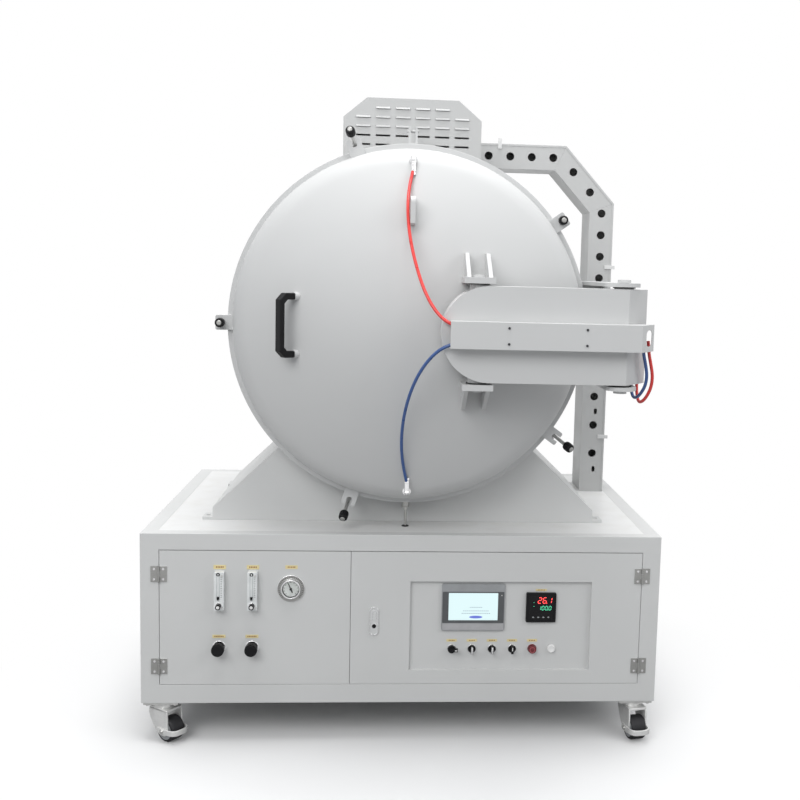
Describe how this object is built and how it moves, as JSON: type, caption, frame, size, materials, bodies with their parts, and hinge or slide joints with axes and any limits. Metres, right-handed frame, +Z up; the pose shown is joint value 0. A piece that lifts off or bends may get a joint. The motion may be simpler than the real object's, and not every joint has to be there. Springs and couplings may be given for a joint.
{
  "type": "vacuum sintering furnace",
  "caption": "Vacuum furnace on a caster cabinet: round vessel, dished door on a swing arm with swing bolts, hoses, cable duct, vented cover and a control panel.",
  "frame": {"origin": "on the floor, below the middle of the whole furnace's box", "axes": "+Z up, +Y from the chamber door to the vacuum port at the back, +X to the right as seen from the front"},
  "size_m": [1.7, 1.4504, 2.134],
  "materials": {
    "cabinet_paint": "semi-gloss",
    "table_paint": "semi-gloss",
    "vessel_paint": "semi-gloss",
    "arm_paint": "semi-gloss",
    "bright_steel": "brushed",
    "chrome_trim": "polished",
    "black_plastic": "matte",
    "panel_plastic": "satin",
    "red_plastic": "gloss",
    "clear_plastic": "gloss",
    "red_hose": "satin",
    "blue_hose": "satin",
    "felt": "matte",
    "graphite": "satin",
    "copper": "satin",
    "seal_rubber": "matte",
    "tread": "matte",
    "machine_iron": "painted"
  },
  "bodies": {
    "furnace": {"cabinet_frame": "cabinet_paint", "cabinet_top": "table_paint", "cabinet_panels": "cabinet_paint", "saddle": "cabinet_paint", "chamber_shell": "vessel_paint", "door_seal": "seal_rubber", "hot_zone_felt": "felt", "heater_bars": "graphite", "hearth": "graphite", "electrodes": "copper", "vent_cover": "cabinet_paint", "cable_duct": "cabinet_paint", "duct_clips": "table_paint", "clamp_clevises": "vessel_paint", "arm_bracket": "arm_paint", "cabinet_hinges": "bright_steel", "vacuum_port": "bright_steel", "water_lines": "bright_steel", "cabinet_equipment": "machine_iron", "caster_plates": "bright_steel"},
    "arm": {"swing_arm": "arm_paint", "hose_trough": "arm_paint", "red_hose_rear": "red_hose", "blue_hose_rear": "blue_hose"},
    "chamber_door": {"door_shell": "vessel_paint", "door_lugs": "vessel_paint", "door_handle": "black_plastic", "door_brackets": "arm_paint", "door_felt": "felt", "door_fittings": "chrome_trim", "red_hose_front": "red_hose", "blue_hose_front": "blue_hose"},
    "left_cabinet_door": {"left_door": "cabinet_paint", "gas_instruments": "clear_plastic"},
    "right_cabinet_door": {"right_door": "cabinet_paint", "touch_screen": "panel_plastic", "temperature_controller": "black_plastic"},
    "clamp_bolt_1": {"clamp_bolt_1": "bright_steel"},
    "clamp_bolt_2": {"clamp_bolt_2": "bright_steel"},
    "clamp_bolt_3": {"clamp_bolt_3": "bright_steel"},
    "clamp_bolt_4": {"clamp_bolt_4": "bright_steel"},
    "clamp_bolt_5": {"clamp_bolt_5": "bright_steel"},
    "door_latch": {"door_latch": "chrome_trim"},
    "flow_knob_1": {"flow_knob_1": "chrome_trim"},
    "valve_knob_1": {"valve_knob_1": "black_plastic"},
    "flow_knob_2": {"flow_knob_2": "chrome_trim"},
    "valve_knob_2": {"valve_knob_2": "black_plastic"},
    "lever_switch": {"lever_switch": "black_plastic"},
    "selector_1": {"selector_1": "black_plastic"},
    "selector_2": {"selector_2": "black_plastic"},
    "selector_3": {"selector_3": "black_plastic"},
    "stop_button": {"stop_button": "red_plastic"},
    "caster_fork_1": {"caster_fork_1": "bright_steel"},
    "caster_wheel_1": {"caster_wheel_1": "tread"},
    "caster_fork_2": {"caster_fork_2": "bright_steel"},
    "caster_wheel_2": {"caster_wheel_2": "tread"},
    "caster_fork_3": {"caster_fork_3": "bright_steel"},
    "caster_wheel_3": {"caster_wheel_3": "tread"},
    "caster_fork_4": {"caster_fork_4": "bright_steel"},
    "caster_wheel_4": {"caster_wheel_4": "tread"}
  },
  "joints": [
    {"name": "arm_swing", "type": "hinge", "parent": "furnace", "child": "arm", "pos_m": [0.632, -0.6302, 1.383], "axis": [0, 0, 1], "range_deg": [0, 110], "deforming": ["red_hose_rear", "blue_hose_rear"]},
    {"name": "door_pivot", "type": "hinge", "parent": "arm", "child": "chamber_door", "pos_m": [0.198, -0.6302, 1.383], "axis": [0, 0, 1], "range_deg": [-22, 0], "deforming": ["red_hose_front", "blue_hose_front"]},
    {"name": "left_door_hinge", "type": "hinge", "parent": "furnace", "child": "left_cabinet_door", "pos_m": [-0.79, -0.3928, 0.42], "axis": [0, 0, -1], "range_deg": [0, 110]},
    {"name": "right_door_hinge", "type": "hinge", "parent": "furnace", "child": "right_cabinet_door", "pos_m": [0.79, -0.3928, 0.42], "axis": [0, 0, 1], "range_deg": [0, 110]},
    {"name": "clamp_bolt_1_swing", "type": "hinge", "parent": "furnace", "child": "clamp_bolt_1", "pos_m": [-0.605, -0.2478, 1.383], "axis": [0, 0, -1], "range_deg": [0, 100]},
    {"name": "clamp_bolt_2_swing", "type": "hinge", "parent": "furnace", "child": "clamp_bolt_2", "pos_m": [-0.18696, -0.2478, 1.95839], "axis": [-0.9511, 0, -0.309], "range_deg": [-25, 75]},
    {"name": "clamp_bolt_3_swing", "type": "hinge", "parent": "furnace", "child": "clamp_bolt_3", "pos_m": [0.48945, -0.2478, 1.73861], "axis": [-0.5878, 0, 0.809], "range_deg": [0, 100]},
    {"name": "clamp_bolt_4_swing", "type": "hinge", "parent": "furnace", "child": "clamp_bolt_4", "pos_m": [0.48945, -0.2478, 1.02739], "axis": [0.5878, 0, 0.809], "range_deg": [-39, 61]},
    {"name": "clamp_bolt_5_swing", "type": "hinge", "parent": "furnace", "child": "clamp_bolt_5", "pos_m": [-0.18696, -0.2478, 0.80761], "axis": [0.9511, 0, -0.309], "range_deg": [-37, 10]},
    {"name": "latch_turn", "type": "hinge", "parent": "right_cabinet_door", "child": "door_latch", "pos_m": [-0.097, -0.3878, 0.401], "axis": [0, 1, 0], "range_deg": [0, 90]},
    {"name": "flow_knob_1_turn", "type": "hinge", "parent": "left_cabinet_door", "child": "flow_knob_1", "pos_m": [-0.5965, -0.4178, 0.474], "axis": [0, 1, 0], "range_deg": [-180, 180]},
    {"name": "valve_knob_1_turn", "type": "hinge", "parent": "left_cabinet_door", "child": "valve_knob_1", "pos_m": [-0.599, -0.4078, 0.3275], "axis": [0, 1, 0], "range_deg": [-180, 180]},
    {"name": "flow_knob_2_turn", "type": "hinge", "parent": "left_cabinet_door", "child": "flow_knob_2", "pos_m": [-0.4905, -0.4178, 0.474], "axis": [0, 1, 0], "range_deg": [-180, 180]},
    {"name": "valve_knob_2_turn", "type": "hinge", "parent": "left_cabinet_door", "child": "valve_knob_2", "pos_m": [-0.493, -0.4078, 0.3275], "axis": [0, 1, 0], "range_deg": [-180, 180]},
    {"name": "lever_switch_turn", "type": "hinge", "parent": "right_cabinet_door", "child": "lever_switch", "pos_m": [0.1605, -0.3758, 0.3205], "axis": [0, 1, 0], "range_deg": [-90, 0]},
    {"name": "selector_1_turn", "type": "hinge", "parent": "right_cabinet_door", "child": "selector_1", "pos_m": [0.2278, -0.3758, 0.3205], "axis": [0, 1, 0], "range_deg": [-45, 45]},
    {"name": "selector_2_turn", "type": "hinge", "parent": "right_cabinet_door", "child": "selector_2", "pos_m": [0.295, -0.3758, 0.3205], "axis": [0, 1, 0], "range_deg": [-45, 45]},
    {"name": "selector_3_turn", "type": "hinge", "parent": "right_cabinet_door", "child": "selector_3", "pos_m": [0.3622, -0.3758, 0.3205], "axis": [0, 1, 0], "range_deg": [-45, 45]},
    {"name": "stop_button_press", "type": "slide", "parent": "right_cabinet_door", "child": "stop_button", "axis": [0, 1, 0], "range_m": [0, 0.004], "stiffness_N_per_m": 400},
    {"name": "caster_1_swivel", "type": "hinge", "parent": "furnace", "child": "caster_fork_1", "pos_m": [-0.787, -0.3358, 0.1], "axis": [0, 0, 1], "continuous": true},
    {"name": "caster_1_roll", "type": "hinge", "parent": "caster_fork_1", "child": "caster_wheel_1", "pos_m": [-0.76144, -0.35506, 0.04], "axis": [0.6018, 0.7986, 0], "continuous": true},
    {"name": "caster_2_swivel", "type": "hinge", "parent": "furnace", "child": "caster_fork_2", "pos_m": [0.787, -0.3358, 0.1], "axis": [0, 0, 1], "continuous": true},
    {"name": "caster_2_roll", "type": "hinge", "parent": "caster_fork_2", "child": "caster_wheel_2", "pos_m": [0.79365, -0.3671, 0.04], "axis": [0.9781, 0.2079, 0], "continuous": true},
    {"name": "caster_3_swivel", "type": "hinge", "parent": "furnace", "child": "caster_fork_3", "pos_m": [-0.787, 0.6102, 0.1], "axis": [0, 0, 1], "continuous": true},
    {"name": "caster_3_roll", "type": "hinge", "parent": "caster_fork_3", "child": "caster_wheel_3", "pos_m": [-0.771, 0.63791, 0.04], "axis": [-0.866, 0.5, 0], "continuous": true},
    {"name": "caster_4_swivel", "type": "hinge", "parent": "furnace", "child": "caster_fork_4", "pos_m": [0.787, 0.6102, 0.1], "axis": [0, 0, 1], "continuous": true},
    {"name": "caster_4_roll", "type": "hinge", "parent": "caster_fork_4", "child": "caster_wheel_4", "pos_m": [0.77872, 0.64111, 0.04], "axis": [-0.9659, -0.2588, 0], "continuous": true}
  ],
  "couplings": [
    {"joint": "door_pivot", "follows": "arm_swing", "ratio": -0.2}
  ]
}
